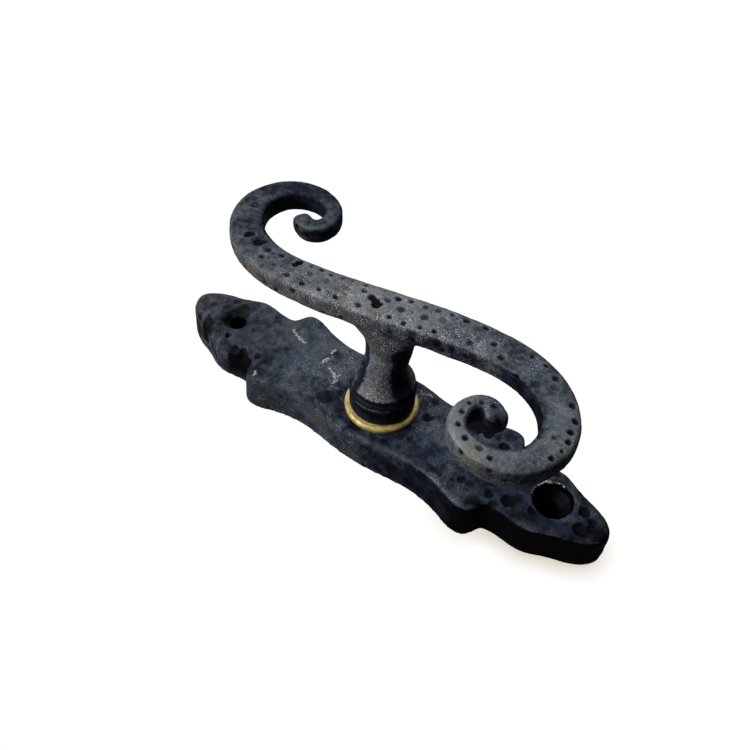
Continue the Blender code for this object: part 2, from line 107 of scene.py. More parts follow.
# Unevenness: layers of noise, each a wavelength in millimetres, a strength and a seed. The strengths
# of the waves and the roughness are depths in millimetres; the others are shares of a radius or width.
LEVER_WAVES = [(7.0, 0.12, 1), (2.2, 0.06, 2)]
LEVER_ROUGHNESS = [(0.75, 0.05, 3), (0.45, 0.02, 13)]
PLATE_WAVES = [(8.0, 0.22, 5), (3.0, 0.12, 6)]
PLATE_ROUGHNESS = [(0.8, 0.045, 7)]
MARK_OUTLINE = [(1.3, 0.14, 4), (0.6, 0.10, 8)]
STAIN_AND_SHADE_OUTLINE = [(2.5, 0.35, 17), (0.9, 0.2, 18)]
SCRATCH_OUTLINE = [(0.9, 0.8, 9)]
RIM_OUTLINE = [(5.0, 0.35, 14)]
BURR_OUTLINE = [(1.1, 0.8, 15)]
# The same for the edges of the neck's painted light and shade, in degrees
NECK_LIGHT_OUTLINE = [(5.0, 7.0, 16)]
# How much of the lever's roughness the smoother neck has
NECK_ROUGHNESS = 0.4

# Shape of the handle: heights and distances from the axis over which the neck turns into the lever
LEVER_HEIGHTS = (43.0 * MM, 47.0 * MM)
LEVER_REACHES = (12.0 * MM, 14.0 * MM)
# The fillet under the lever: heights where it starts and ends, and how far out it goes
FILLET_START = (38.0 * MM, 44.0 * MM)
FILLET_END = (52.0 * MM, 54.0 * MM)
FILLET_REACH = (15.0 * MM, 20.0 * MM)
# The lever's hammered top and its sides: depth below the highest point, and slope
LEVER_TOP_DEPTH = 5.0 * MM
LEVER_TOP_SLOPE = 0.35
LEVER_SIDE_DEPTH = 7.0 * MM
LEVER_SIDE_SLOPE = 0.4
# Broad dents on the lever's sides
SIDE_DENT_SPACING = 4.5 * MM
SIDE_DENT_TRIES = 400
SIDE_DENT_RADII = (0.8 * MM, 1.6 * MM)
SIDE_DENT_DEPTH = 0.25 * MM
SIDE_DENT_SHADE = 0.45
SIDE_DENT_SEED = 11
SIDE_DENT_SIZE_SEED = 12

# Hammer marks on top of the lever: x, y and radius in millimetres, and a share of the full depth.
LEVER_MARKS = [
    (-58.5, 2.5, 0.8, 0.3), (-58.5, 10, 1.7, 0.4), (-55, -0.5, 0.9, 0.3), (-52, 0, 0.6, 0.6),
    (-50.5, -2.5, 1, 1), (-47, -2.5, 2.4, 0.35), (-41.5, -3.5, 1.3, 0.7), (-41, -7, 1.1, 0.7),
    (-39, -6, 0.6, 0.5), (-38.5, -10, 1.2, 0.3), (-36.5, -3, 1.1, 0.7), (-36, -7.5, 0.6, 0.6),
    (-31, -3.5, 1.2, 1), (-30.5, -1.5, 1, 1), (-30, -8.5, 1.1, 0.7), (-27, -1, 0.8, 0.6),
    (-25, -4, 1.4, 0.5), (-24.5, -8.5, 1.1, 0.8), (-23.5, -0.5, 0.9, 0.8), (-20, -0.5, 0.8, 0.7),
    (-19.5, -3.5, 1.5, 0.3), (-19, -7.5, 0.9, 0.8), (-16.5, 0.5, 0.6, 0.6), (-13.5, -7, 0.9, 0.8),
    (-13.5, -2, 1.5, 0.3), (-13.5, 1.5, 0.6, 0.6), (-9.5, 2.5, 0.8, 0.7), (-8.5, 0, 1.1, 0.7),
    (-6.5, -5.5, 1.1, 0.8), (-4, 4, 0.7, 0.5),
    (-1, 1, 1.2, 0.6), (1, 3.5, 1.2, 0.9), (3, -4, 0.9, 0.9), (4, 0.5, 1.5, 0.7), (4.5, 5, 1.1, 0.7),
    (7, 1.5, 0.6, 0.4), (7.5, -3.5, 0.9, 0.8), (9, 5.5, 1.1, 0.6), (11, 2, 1.5, 0.7), (12, -2, 0.9, 0.8),
    (12.5, 6.5, 1.1, 0.6), (15.5, 4, 1.7, 0.4), (16, -1, 0.9, 0.9), (16.5, 7.5, 0.9, 0.6),
    (21, 8, 1.1, 0.7), (26, 1.5, 1.2, 0.6), (26.5, 9, 1.1, 0.8), (31.5, 5, 1, 0.8), (35.5, 2, 1.1, 0.7),
    (37, -20, 0.9, 0.8), (37, -16.5, 0.7, 0.8), (38.5, -24, 0.9, 0.9), (39, -1.5, 1.4, 1),
    (39.5, -14.5, 0.8, 0.7), (41, -2, 1.4, 1), (42, -26.5, 1.1, 0.9), (42, 7.5, 0.8, 0.7),
    (42.5, -13.5, 0.9, 0.7), (46.5, -27, 1.1, 0.7), (46.5, 7, 0.8, 0.8), (47.5, -0.5, 1.4, 0.5),
    (50, -28, 0.9, 0.9), (50.5, 4.5, 1.2, 0.8), (52, 1.5, 1.4, 0.4), (58.5, -1, 1.2, 0.8),
    (59.5, -22.5, 0.9, 0.3), (59.5, -13, 0.7, 0.5), (61.5, -5, 1.2, 0.9), (62, -19, 0.9, 1),
    (62, -9, 1.1, 1), (63, -15.5, 0.7, 0.8), (63, -12, 1, 1),
    (-5.2, -0.7, 1.3, 1.25), (-3.6, -1.2, 1.5, 1.3), (-2.6, -2.6, 1.5, 1.4), (-1.9, -1.4, 1.0, 1.1),
    (-50.5, -1.4, 1.6, 1.3), (-46.0, -2.8, 1.9, 1.2), (-44.6, -1.6, 1.1, 0.6), (-30.7, -2.3, 1.2, 1.4),
    (38.7, -1.6, 1.4, 1.5), (41.5, -1.5, 1.4, 1.5), (34.0, -1.8, 1.2, 0.8),
]
# Their depth at a full share, a factor on their radii, how soft their rims are, and how dark they are
LEVER_MARK_DEPTH = 0.60 * MM
LEVER_MARK_SIZE = 1.15
LEVER_MARK_SOFTNESS = 0.65
LEVER_MARK_SHADE = 0.50

# The same on the plate's face, where the dents are softer
PLATE_MARKS = [
    (-73, 0, 1.8, 0.4), (-72, -9.5, 0.9, 0.5), (-70.5, -5, 1, 0.6), (-68.5, 2, 1.8, 0.5),
    (-67, -9, 2, 0.6), (-67, 7, 1.8, 0.6), (-65, -5.5, 1.4, 0.3), (-63.5, -12.5, 2, 0.6),
    (-60.5, 7, 2.1, 0.5), (-70.5, -12.0, 3.2, 0.9), (-74.5, -7.0, 2.6, 0.8),
    (-51, 4, 2, 0.4), (-51, 8.5, 0.8, 0.7), (-44, -1, 1.8, 0.4), (-50.5, -15.0, 3.2, 0.8),
    (-42, 9, 1.4, 0.4), (-39.5, 0, 0.8, 0.6), (-37, 16, 1.4, 0.5), (-35.5, -7.5, 1.4, 0.3),
    (-30.5, 7.5, 0.8, 0.6), (-30, -4.5, 1.4, 0.5), (-25, -19, 1.1, 0.5),
    (-23, 7, 2.1, 0.4), (-16, -2, 2.1, 0.5), (-15, -8.5, 2.1, 0.5), (-7.5, -12.5, 1.6, 0.6),
    (-2.5, -13, 1.4, 0.6), (7, 11.5, 1.1, 0.4), (9, -11.5, 1.4, 0.6), (13.5, 11, 2.1, 0.6),
    (14, 4.5, 2, 0.8), (15.5, -6.5, 2.9, 0.4), (16, 5, 1.8, 0.7), (23, -6.5, 2.1, 0.5),
    (29.5, -9, 2.5, 0.4), (39, -8.5, 2.1, 0.5), (43, 0.5, 1.4, 0.3), (45, -8, 2, 0.7), (51.5, -7, 3, 0.6),
    (58, 10.5, 1.8, 0.9), (58.5, -4, 2.1, 0.8), (36.8, 11.5, 1.6, 0.6), (43.2, 8.0, 2.6, 0.7),
    (48.0, -10.5, 2.4, 0.8), (53.0, -4.5, 2.6, 0.8),
]
PLATE_MARK_DEPTH = 0.55 * MM
PLATE_MARK_SOFTNESS = 0.85
PLATE_MARK_SHADE = 0.5
# The plate's crisp deep pits
PLATE_PITS = [
    (-59.4, -7.7, 1.25, 1.0), (-45.0, -8.9, 1.6, 1.0), (-53.5, -10.6, 1.4, 0.6), (-50.5, -9.8, 1.6, 0.6),
    (40.3, 9.3, 2.0, 1.0), (70.8, 3.4, 2.2, 0.8), (72.3, -2.6, 2.6, 0.8), (75.0, -0.5, 1.8, 0.8),
    (58.4, -5.4, 1.8, 0.6), (50.9, -7.1, 2.6, 0.55), (45.4, -8.6, 1.8, 0.5), (67.0, 3.9, 1.2, 0.5),
    (74.3, 1.5, 1.4, 0.6), (14.8, 3.9, 1.8, 0.5), (15.1, -6.0, 1.4, 0.4), (-73.1, 0.6, 1.6, 0.35),
    (-67.7, 5.9, 1.5, 0.35), (36.0, -9.0, 1.6, 0.35),
]
PLATE_PIT_DEPTH = 0.75 * MM
PLATE_PIT_SOFTNESS = 0.5
PLATE_PIT_SHADE = 0.8
# Black stains on the face and its rims, of which the first two are painted shade on the face under the
# lever's right arm: x, y, radius and how black, and how far down the walls they go
PLATE_STAINS_AND_SHADE = [
    (28.5, 12.0, 4.2, 0.7), (33.6, 10.4, 2.0, 0.6), (-50.3, -11.9, 3.1, 0.9), (-53.8, -11.3, 2.0, 0.9),
    (-47.2, -12.6, 2.2, 0.9), (73.0, -2.6, 3.0, 0.45), (54.0, 10.6, 2.0, 0.5), (77.5, -1.0, 2.6, 0.4),
    (-69.1, -7.8, 2.6, 0.45), (-63.2, 4.0, 3.4, 0.35),
]
STAIN_AND_SHADE_REACH = 9.0 * MM
STAIN_AND_SHADE_RIM = (0.7, 1.1)

# How far the zones of wear and grit below blend into each other
LEVER_BLEND = 7.0 * MM
SIDE_BLEND = 8.0 * MM
PLATE_BLEND = 9.0 * MM
PLATE_GRIT_BLEND = 6.0 * MM

# Where handling has worn the black off the lever's top: x, y and a share
LEVER_WEAR = [
    (-36, 20, 0.35), (-44, 15, 0.45), (-52, 26, 0.02), (-44, 28, 0.00), (-60, 20, 0.22), (-61, 10, 0.36),
    (-57, 2, 0.35), (-48, -3, 0.30), (-38, -6, 0.60), (-22, -5, 0.85), (0, -2, 1.0), (12, 2, 0.90),
    (24, 4, 0.60), (38, 5, 0.50), (50, 3, 0.52), (59, -4, 0.72), (61, -14, 0.70), (57, -23, 0.65),
    (48, -28, 0.75), (40, -26, 0.90), (36, -20, 0.95), (38, -15, 0.60), (43, -13, 0.15),
]
# The same on its sides. The near side's zones lie below the lever's middle line, the far side's above.
LEVER_SIDE_WEAR = [
    (-45, 28, 0.1), (-65, 12, 0.55), (-60, -3, 0.70), (-48, -9, 0.75), (-35, -13, 0.75), (-20, -11, 0.65),
    (0, -7, 0.70), (14, -4, 0.12), (22, -3, 0.15), (30, -1, 0.30), (30, 12, 0.4), (60, 5, 0.3),
    (66, -14, 0.2), (60, -28, 0.2), (50, -32, 0.60), (40, -31, 0.80), (32, -23, 0.85), (34, -14, 0.8),
]
# Where the lever's top is gritty, with painted glints: x, y and a share
LEVER_GRIT = [
    (-60, 10, 0.15), (-55, 25, 0.1), (-40, 20, 0.12), (-45, -2, 0.15), (-36, -8, 0.35), (-25, -8, 0.6),
    (-25, 0, 0.15), (-8, -6, 0.8), (-5, 3, 0.15), (8, -4, 0.8), (10, 5, 0.3), (25, 2, 0.45),
    (40, 5, 0.25), (55, 0, 0.15), (60, -14, 0.15), (52, -27, 0.22), (40, -26, 0.1), (36, -18, 0.25),
    (43, -14, 0.35),
]
# The same for its sides and the neck, along x
SIDE_GRIT = [(-66, 0.15), (-45, 0.25), (-25, 0.50), (-5, 0.70), (15, 0.65), (30, 0.35), (66, 0.30)]
# Along the lever: x and how khaki the worn iron is, on its sides and on its top
SIDE_WARMTH = [(-66, 0.7), (-20, 0.6), (-5, 0.2), (25, 0.1), (35, 0.7), (55, 0.6), (66, 0.4)]
TOP_WARMTH = [(-66, 0.6), (-55, 0.4), (-40, 0.1), (0, 0.1), (25, 0.0), (34, 0.2), (66, 0.0)]
# The eye of each scroll. Walls within reach that face it are unworn black darkened further as painted shade,
# the top's rim over them gets painted shade, and the tip round it is unworn.
SCROLL_EYES = [(45.0, -19.0), (-45.0, 19.0)]
SCROLL_REACH = 21.0 * MM
SCROLL_FADE = (0.8, 1.0)
SCROLL_FACING = (0.05, 0.45)
SCROLL_TIP = (7.0 * MM, 9.0 * MM)
SCROLL_WALL_BLACK_AND_SHADE = 0.8
SCROLL_RIM_SHADE = 0.75
# Heights on the neck in millimetres, and a share there, lowest in the groove and on the collar below the
# bead. Below nought there is no wear even in patches.
NECK_WEAR = [(15, -0.5), (20.4, -0.4), (21.0, 0.2), (22.3, 0.45), (22.8, -0.6), (25.2, -0.6),
             (26.0, 0.95), (28, 1.0), (36, 0.80), (42, 0.85), (46, 0.95)]
# The neck's lit side, and the share at angles from there: painted light over one span, painted shade over
# another, and a narrow painted dark streak beside the lit span
NECK_LIT_SIDE = math.radians(-56.4)
NECK_LIGHT_ROUND = [(-180, 0.3), (-90, 0.20), (-72, 0.20), (-64, -0.2), (-56, -0.2), (-48, 1.0), (-20, 1.0),
              (-4, 1.1), (6, 0.95), (16, 0.3), (26, -1.0), (55, -1.0), (66, 0.1), (80, 0.5), (180, 0.3)]
# The plate's face: x, y and wear
PLATE_WEAR = [
    (-75, 0, 0.45), (-66, 6, 0.55), (-62, -8, 0.60), (-52, 3, 0.65), (-52, -14, 0.05), (-40, -8, 0.66),
    (-38, 4, 0.75), (-28, -4, 0.85), (-22, 6, 0.75), (-10, -14, 0.30), (0, -16, 0.20), (10, -14, 0.30),
    (18, 5, 1.0), (27, -5, 0.60), (19, -12, 0.15), (34, -12, 0.52), (42, -10, 0.25), (40, 10, 0.42),
    (49, -5, -0.10), (57, -6, 0.08), (60, 10, 0.32), (68, 5, 0.34), (74, -2, -0.05), (78, 2, 0.0),
    (15, 3.5, 0.1), (-67, -9, 0.2), (-63, -14, 0.1), (-45, -16, 0.2), (-63.5, 0, 0.15), (-14, -8, 0.1),
]
# Along the plate: x and how khaki the worn iron is
PLATE_WARMTH = [(-80, 0.9), (-66, 0.7), (-55, 0.35), (-42, 0.1), (52, 0.0), (64, 0.4), (78, 0.9)]
# Where the plate's face is gritty, with painted glints: x, y and a share; and its walls' share
PLATE_GRIT = [
    (-60, 0, 0.1), (-45, -5, 0.1), (-38, 7, 0.2), (-30, -10, 0.25), (-20, 2, 0.35), (-14, -10, 0.3),
    (0, -15, 0.2), (16, 3, 0.4), (14, 10, 0.6), (22, -4, 0.1), (30, -14, 0.35), (45, -6, 0.1),
    (58, -8, 0.1), (70, 0, 0.15),
]
PLATE_WALL_GRIT = 0.35
# Along the plate's walls: x and a share of wear and painted light, which falls off towards the right end
PLATE_WALL_WEAR_AND_LIGHT = [
    (-80, 0.42), (-60, 0.35), (-52, 0.0), (-46, 0.30), (-40, 0.42), (-22, 0.70), (-8, 0.72), (2, 0.35),
    (20, -0.10), (40, -0.3),
]
# Along the near wall only: x and how black it is, as painted shade towards the right end
PLATE_WALL_SHADE = [(-80, 0.0), (18, 0.0), (36, 0.25), (45, 0.8), (80, 1.0)]
# Radius worn onto the plate's upper rim, along the near side and along the far side: x, radius
NEAR_RIM = [
    (-80, 2.5), (-72, 4.0), (-62, 5.5), (-48, 6.0), (-41, 1.2), (-33, 1.6), (-20, 2.8), (-4, 3.0),
    (6, 1.6), (30, 0.9), (80, 0.8),
]
FAR_RIM = [(-80, 1.6), (-66, 2.0), (-55, 1.6), (-40, 0.7), (80, 1.0)]
# The two sides' radii blend over this much of y
RIM_BLEND = 3.0 * MM
# The band of wall that the rim is measured from: depths below the face, slope, and room to the holes
RIM_WALL_DEPTHS = (1.6 * MM, 3.2 * MM)
RIM_WALL_SLOPE = 0.3
RIM_MARGIN = 1.0 * MM
# The plate's lower edge is worn round at its right end: heights, and x, over which that fades
LOWER_EDGE_HEIGHTS = (2.5 * MM, 4.5 * MM)
LOWER_EDGE_PLACES = (44.0 * MM, 56.0 * MM)
# The plate's hammered face: depth below the highest point, and slope
FACE_DEPTH = 7.0 * MM
FACE_SLOPE = 0.25

# Screw holes in the plate: x, y, radius of the sink, and how black the sink is
PLATE_HOLES = [(-62.0, 0.0, 5.4, 0.15), (61.5, 1.3, 6.2, 1.0)]
BORE_RADIUS = 2.9 * MM
# Shares of their radii over which a sink's and a bore's black fade, and depths where a sink's begins
SINK_RIM = (0.75, 1.05)
BORE_RIM = (0.98, 1.03)
SINK_DEPTHS = (0.1 * MM, 0.9 * MM)
# Ring round the left sink that is worn soft, as shares of the sink's radius
SOFT_RING_INNER = (0.6, 0.8)
SOFT_RING_OUTER = (1.3, 1.5)
# Room that the hammer marks leave round the holes and the bush
MARK_MARGIN = 0.4 * MM
# Burr round the right sink: from and to, as angles about its middle, how it fades at its ends, its
# width and height, where it rises and falls as shares of its width, and where it is bare metal
BURR_ANGLES = (math.radians(75.0), math.radians(205.0))
BURR_FADE = 0.3
BURR_WIDTH = 0.9 * MM
BURR_HEIGHT = 0.22 * MM
BURR_RISE = (-0.3, 0.1)
BURR_FALL = (0.2, 0.9)
BURR_BARE = (0.10, 0.45)
# It stands only on the face: depth below the face, and slope. The noise breaks it up about this mean.
BURR_DEPTH = 1.2 * MM
BURR_SLOPE = 0.2
BURR_MEAN = 0.6
# Boss and lugs behind the face: how wide and how deep they start, and the room left round what turns
WORKS_RADII = (12.5 * MM, 15.0 * MM)
WORKS_DEPTH = 2.5 * MM
WORKS_CLEARANCE = 0.06 * MM
# Heights over which the hammered walls give way to the flat back
FLAT_BACK = (0.4 * MM, 2.0 * MM)
# Dish round the bush, which sits a little below the hammered face
DISH_RADII = (12.6 * MM, 16.0 * MM)
DISH_DEPTH = 0.7 * MM
DISH_SKIN = 1.5 * MM

# Scratches down to bare metal on the plate's face, as lines of x, y
SCRATCHES = [
    [(-40.1, -16.2), (-40.8, -14.8)],
    [(-42.9, 7.7), (-40.7, 6.4), (-38.8, 5.9)], [(-38.0, 5.8), (-36.2, 5.4)],
    [(-26.0, 1.8), (-25.9, 3.4), (-25.3, 4.8)], [(-25.4, 2.6), (-24.9, 3.8)], [(-26.1, 7.4), (-26.0, 9.4)],
    [(-22.3, 1.5), (-20.8, 0.8), (-19.0, -0.6), (-17.6, -1.3), (-17.8, -2.9)], [(-18.7, -0.7), (-18.1, 1.1)],
    [(7.0, 12.0), (8.2, 11.6)], [(9.6, 12.3), (10.8, 11.9)],
]
SCRATCH_WIDTH = 0.75 * MM

# Brass bush: how far its flange stands out of the sleeve, the radius of the flange's corner, its small
# bevels, how far the flange is let into the plate, and the steps round it and round the corner
FLANGE_OVERHANG = 2.30 * MM
FLANGE_CORNER = 1.05 * MM
BUSH_BEVEL = 0.2 * MM
FLANGE_SINK = 0.45 * MM
BUSH_STATIONS = 160
CORNER_STEPS = 8
# Gap over the bush's flange where the handle is divided into casting and journal
JOURNAL_GAP = 0.1 * MM
# Angles over which an edge stays sharp
JOURNAL_SHARP = math.radians(30)
BUSH_SHARP = math.radians(40)

# Iron's colours: its black where it isn't blue, the black of pits, stains and painted shade, painted glints,
# and bare metal
SOOT_BLACK = (0.0030, 0.0030, 0.0042)
PIT_AND_SHADE_BLACK = (0.0008, 0.0009, 0.0022)
GLINT_WHITE = (0.62, 0.62, 0.64)
BARE_METAL = (0.52, 0.49, 0.46)
# What half-worn iron's colour is multiplied by, which cools it
HALF_WORN = (0.82, 1.0, 1.12)
# Sizes of its patches of colour, its painted glints and its cracks
MOTTLE_SIZE = 5.0 * MM
PATCH_SIZE = 1.7 * MM
FINE_SIZE = 0.42 * MM
FILM_SIZE = 4.0 * MM
KHAKI_SIZE = 9.0 * MM
GLINT_SIZE = 0.34 * MM
GLINT_CLOUD_SIZE = 4.0 * MM
BARE_SIZE = 0.5 * MM
CRACK_SIZE = 2.2 * MM
IRON_SPECULAR = 0.06


# ---- meshes of the castings

def copy_solid(node):
    """The CAD node's mesh as one welded bmesh."""
    bm = bmesh.new()
    bm.from_mesh(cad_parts[node].data)
    bmesh.ops.remove_doubles(bm, verts=bm.verts, dist=WELD_DISTANCE)
    bm.normal_update()
    return bm


def slice_solid(bm, height, keep_above):
    """Cut a closed solid at a height, keep one side, and close it again."""
    geometry = bm.verts[:] + bm.edges[:] + bm.faces[:]
    cut = bmesh.ops.bisect_plane(
        bm, geom=geometry, plane_co=(0, 0, height), plane_no=(0, 0, 1),
        clear_inner=keep_above, clear_outer=not keep_above)
    rim = [item for item in cut["geom_cut"] if isinstance(item, bmesh.types.BMEdge)]
    bmesh.ops.triangle_fill(bm, edges=rim, use_beauty=True, use_dissolve=False)
    bmesh.ops.recalc_face_normals(bm, faces=bm.faces)
    return bm


def new_piece(name, mesh):
    obj = bpy.data.objects.new(name, mesh)
    bpy.context.scene.collection.objects.link(obj)
    return obj


def mesh_from(bm, name):
    mesh = bpy.data.meshes.new(name)
    bm.to_mesh(mesh)
    bm.free()
    return mesh


def even_mesh(obj, voxel):
    """Replace the piece's mesh by an even one of small faces, ready for hammering."""
    modifier = obj.modifiers.new("even", 'REMESH')
    modifier.mode = 'VOXEL'
    modifier.voxel_size = voxel
    graph = bpy.context.evaluated_depsgraph_get()
    mesh = bpy.data.meshes.new_from_object(obj.evaluated_get(graph))
    obj.modifiers.clear()
    obj.data = mesh
    return mesh


class Surface:
    """A mesh's points, normals and edges as arrays, while it is being shaped."""

    def __init__(self, mesh):
        self.mesh = mesh
        count = len(mesh.vertices)
        self.points = np.empty(count * 3)
        mesh.vertices.foreach_get("co", self.points)
        self.points = self.points.reshape(-1, 3)
        self.edges = np.empty(len(mesh.edges) * 2, np.int64)
        mesh.edges.foreach_get("vertices", self.edges)
        self.edges = self.edges.reshape(-1, 2)
        self.valence = np.maximum(np.bincount(self.edges.ravel(), minlength=count), 1)
        self.pit_and_shade = np.zeros(count)
        self.wear_and_light = np.zeros(count)
        self.bare = np.zeros(count)
        self.grit = np.zeros(count)
        self.warm = np.zeros(count)
        self.read_normals()

    def read_normals(self):
        self.normals = np.empty(len(self.points) * 3, np.float32)
        self.mesh.vertex_normals.foreach_get("vector", self.normals)
        self.normals = self.normals.reshape(-1, 3).astype(float)

    def write(self):
        self.mesh.vertices.foreach_set("co", self.points.astype(np.float32).ravel())
        self.mesh.update()
        self.read_normals()

    def neighbours_mean(self, values):
        """Each point's mean over the points it shares an edge with."""
        a, b = self.edges.T
        total = np.zeros_like(values)
        for axis in range(values.shape[1]):
            column = values[:, axis]
            count = len(column)
            total[:, axis] = np.bincount(a, column[b], count) + np.bincount(b, column[a], count)
        return total / self.valence[:, None]

    def relax(self, rounds, share):
        """Move each point towards its neighbours; share says where, from 0 to 1, point by point."""
        step = (RELAX_SHARE * share)[:, None]
        for _ in range(rounds):
            self.points += (self.neighbours_mean(self.points) - self.points) * step
        self.write()

    def press(self, depth):
        """Push the points in along their normals."""
        self.points -= self.normals * depth[:, None]

    def store(self, name, values):
        attribute = self.mesh.attributes.new(name, 'FLOAT', 'POINT')
        attribute.data.foreach_set("value", values.astype(np.float32))

    def finish(self):
        """Write the shape, and what the material reads from it."""
        self.write()
        self.store("pit_and_shade", self.pit_and_shade)
        self.store("wear_and_light", self.wear_and_light)
        self.store("bare", self.bare)
        self.store("grit", self.grit)
        self.store("warm", self.warm)
        self.store("edge", convexity(self, EDGE_ROUNDS))
        self.mesh.shade_smooth()


def smoothstep(low, high, values):
    t = np.clip((values - low) / (high - low), 0.0, 1.0)
    return t * t * (3 - 2 * t)


def grain(points, wavelength, seed):
    """Smooth noise from -1 to 1, one value for each point."""
    shift = Vector((seed * 7.3, seed * 3.1, seed * 5.7))
    scale = 1.0 / wavelength
    return np.array([noise.noise(Vector(p) * scale + shift) for p in points])


def layered(points, layers):
    """Layers of noise added up; each has a wavelength in millimetres, a strength and a seed."""
    return sum(strength * grain(points, size * MM, seed) for size, strength, seed in layers)


def along(table, values):
    """Read a table of millimetres and values at the given metres."""
    places, results = zip(*table)
    return np.interp(values / MM, places, results)


def blended(points, zones, reach):
    """A value at each point, blended between zones given as x, y in millimetres and a value."""
    weights = np.full(len(points), 1e-12)
    sums = np.zeros(len(points))
    for x, y, value in zones:
        away = ((points[:, 0] - x * MM) ** 2 + (points[:, 1] - y * MM) ** 2) / reach ** 2
        weight = np.exp(-away)
        weights += weight
        sums += weight * value
    return sums / weights


def convexity(surface, rounds):
    """How far each point stands out of its surroundings, in tenths of a millimetre."""
    wide = surface.points.copy()
    for _ in range(rounds):
        wide = surface.neighbours_mean(wide)
    return np.einsum("ij,ij->i", surface.points - wide, surface.normals) / EDGE_UNIT


def stamp(surface, chosen, marks, full_depth, softness, shade, size=1.0):
    """Hammer marks in the chosen points: dents that are nearly round, with rims as soft as asked."""
    where = np.nonzero(chosen)[0]
    flat = surface.points[where, :2]
    uneven = 1 + layered(surface.points[where], MARK_OUTLINE)
    deepest = np.zeros(len(where))
    for x, y, radius, share in marks:
        reach = np.hypot(flat[:, 0] - x * MM, flat[:, 1] - y * MM) / (radius * size * MM * uneven)
        deepest = np.maximum(deepest, share * (1 - smoothstep(1 - softness, 1.0, reach)))
    depth = np.zeros(len(surface.points))
    depth[where] = deepest
    surface.pit_and_shade = np.maximum(surface.pit_and_shade, depth * shade)
    surface.press(depth * full_depth)


def scattered(points, allowed, spacing, seed, tries):
    """Random points of the surface, no two closer than the spacing."""
    draw = random.Random(seed)
    candidates = np.nonzero(allowed)[0]
    kept = []
    for _ in range(tries):
        place = points[candidates[draw.randrange(len(candidates))]]
        if all(np.dot(place - other, place - other) > spacing ** 2 for other in kept):
            kept.append(place)
    return kept


def dent(surface, allowed, centres, radii, depth, seed):
    """Broad shallow dents round the given centres, each of its own size and strength."""
    draw = random.Random(seed)
    where = np.nonzero(allowed)[0]
    flat = surface.points[where]
    total = np.zeros(len(where))
    for centre in centres:
        radius = draw.uniform(*radii)
        strength = draw.uniform(0.4, 1.0)
        reach = np.linalg.norm(flat - centre, axis=1) / radius
        total = np.maximum(total, strength * (1 - smoothstep(0.1, 1.0, reach)))
    share = np.zeros(len(surface.points))
    share[where] = total
    surface.press(share * depth)
    return share


def scratch(surface, chosen, lines, width):
    """Lay the metal bare along lines of points, broken up as a light scratch is."""
    where = np.nonzero(chosen)[0]
    flat = surface.points[where, :2] / MM
    nearest = np.full(len(where), 1e9)
    for line in lines:
        for start, end in zip(line, line[1:]):
            start, run = np.array(start), np.subtract(end, start)
            part = np.clip((flat - start) @ run / (run @ run), 0, 1)
            nearest = np.minimum(nearest, np.linalg.norm(flat - start - part[:, None] * run, axis=1))
    width = width / MM * (1 + layered(surface.points[where], SCRATCH_OUTLINE))
    surface.bare[where] = np.maximum(surface.bare[where], 1 - np.clip(nearest / width, 0, 1))


# ---- handle

def journal_top():
    """Just above the bush's flange, where the neck's foot hides the joint."""
    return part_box("brass_bush")[1].z + JOURNAL_GAP


def paint_handle_wear_and_light(surface, lever_share):
    """The black is worn off the lever and the neck's belly, and left in the grooves; painted light and shade
    go round the neck, and painted shade inside the scrolls.
    """
    points, normals = surface.points, surface.normals
    facing_up = smoothstep(*TOP_FACING, normals[:, 2])
    lever = blended(points, LEVER_WEAR, LEVER_BLEND)
    side = blended(points, LEVER_SIDE_WEAR, SIDE_BLEND)
    for x, y in SCROLL_EYES:
        inwards = np.array((x * MM, y * MM)) - points[:, :2]
        distance = np.linalg.norm(inwards, axis=1)
        towards = np.einsum("ij,ij->i", normals[:, :2], inwards) / np.maximum(distance, 1e-6)
        curl_shade = smoothstep(*SCROLL_FACING, towards)
        curl_shade *= 1 - smoothstep(*SCROLL_FADE, distance / SCROLL_REACH)
        tip = 1 - smoothstep(*SCROLL_TIP, distance)
        # Walls facing the eye: unworn black darkened further as painted shade; the top's rim over them gets
        # painted shade
        side = side * (1 - np.maximum(curl_shade, tip)) - SCROLL_WALL_BLACK_AND_SHADE * curl_shade
        lever *= 1 - SCROLL_RIM_SHADE * curl_shade
    sides = 1 - facing_up
    lever = lever * facing_up + side * sides
    # Wear by height on the neck, times painted light and painted shade by angle round it
    neck = along(NECK_WEAR, points[:, 2])
    turn = np.arctan2(points[:, 1], points[:, 0]) - NECK_LIT_SIDE
    turn = np.degrees(np.mod(turn + math.pi, 2 * math.pi) - math.pi) + layered(points, NECK_LIGHT_OUTLINE)
    neck = np.minimum(neck, neck * np.interp(turn, *zip(*NECK_LIGHT_ROUND)))
    surface.wear_and_light = lever * lever_share + neck * (1 - lever_share)
    place = points[:, 0]
    surface.grit = blended(points, LEVER_GRIT, LEVER_BLEND) * facing_up + along(SIDE_GRIT, place) * sides
    warmth = along(TOP_WARMTH, place) * facing_up + along(SIDE_WARMTH, place) * sides
    surface.warm = warmth * lever_share


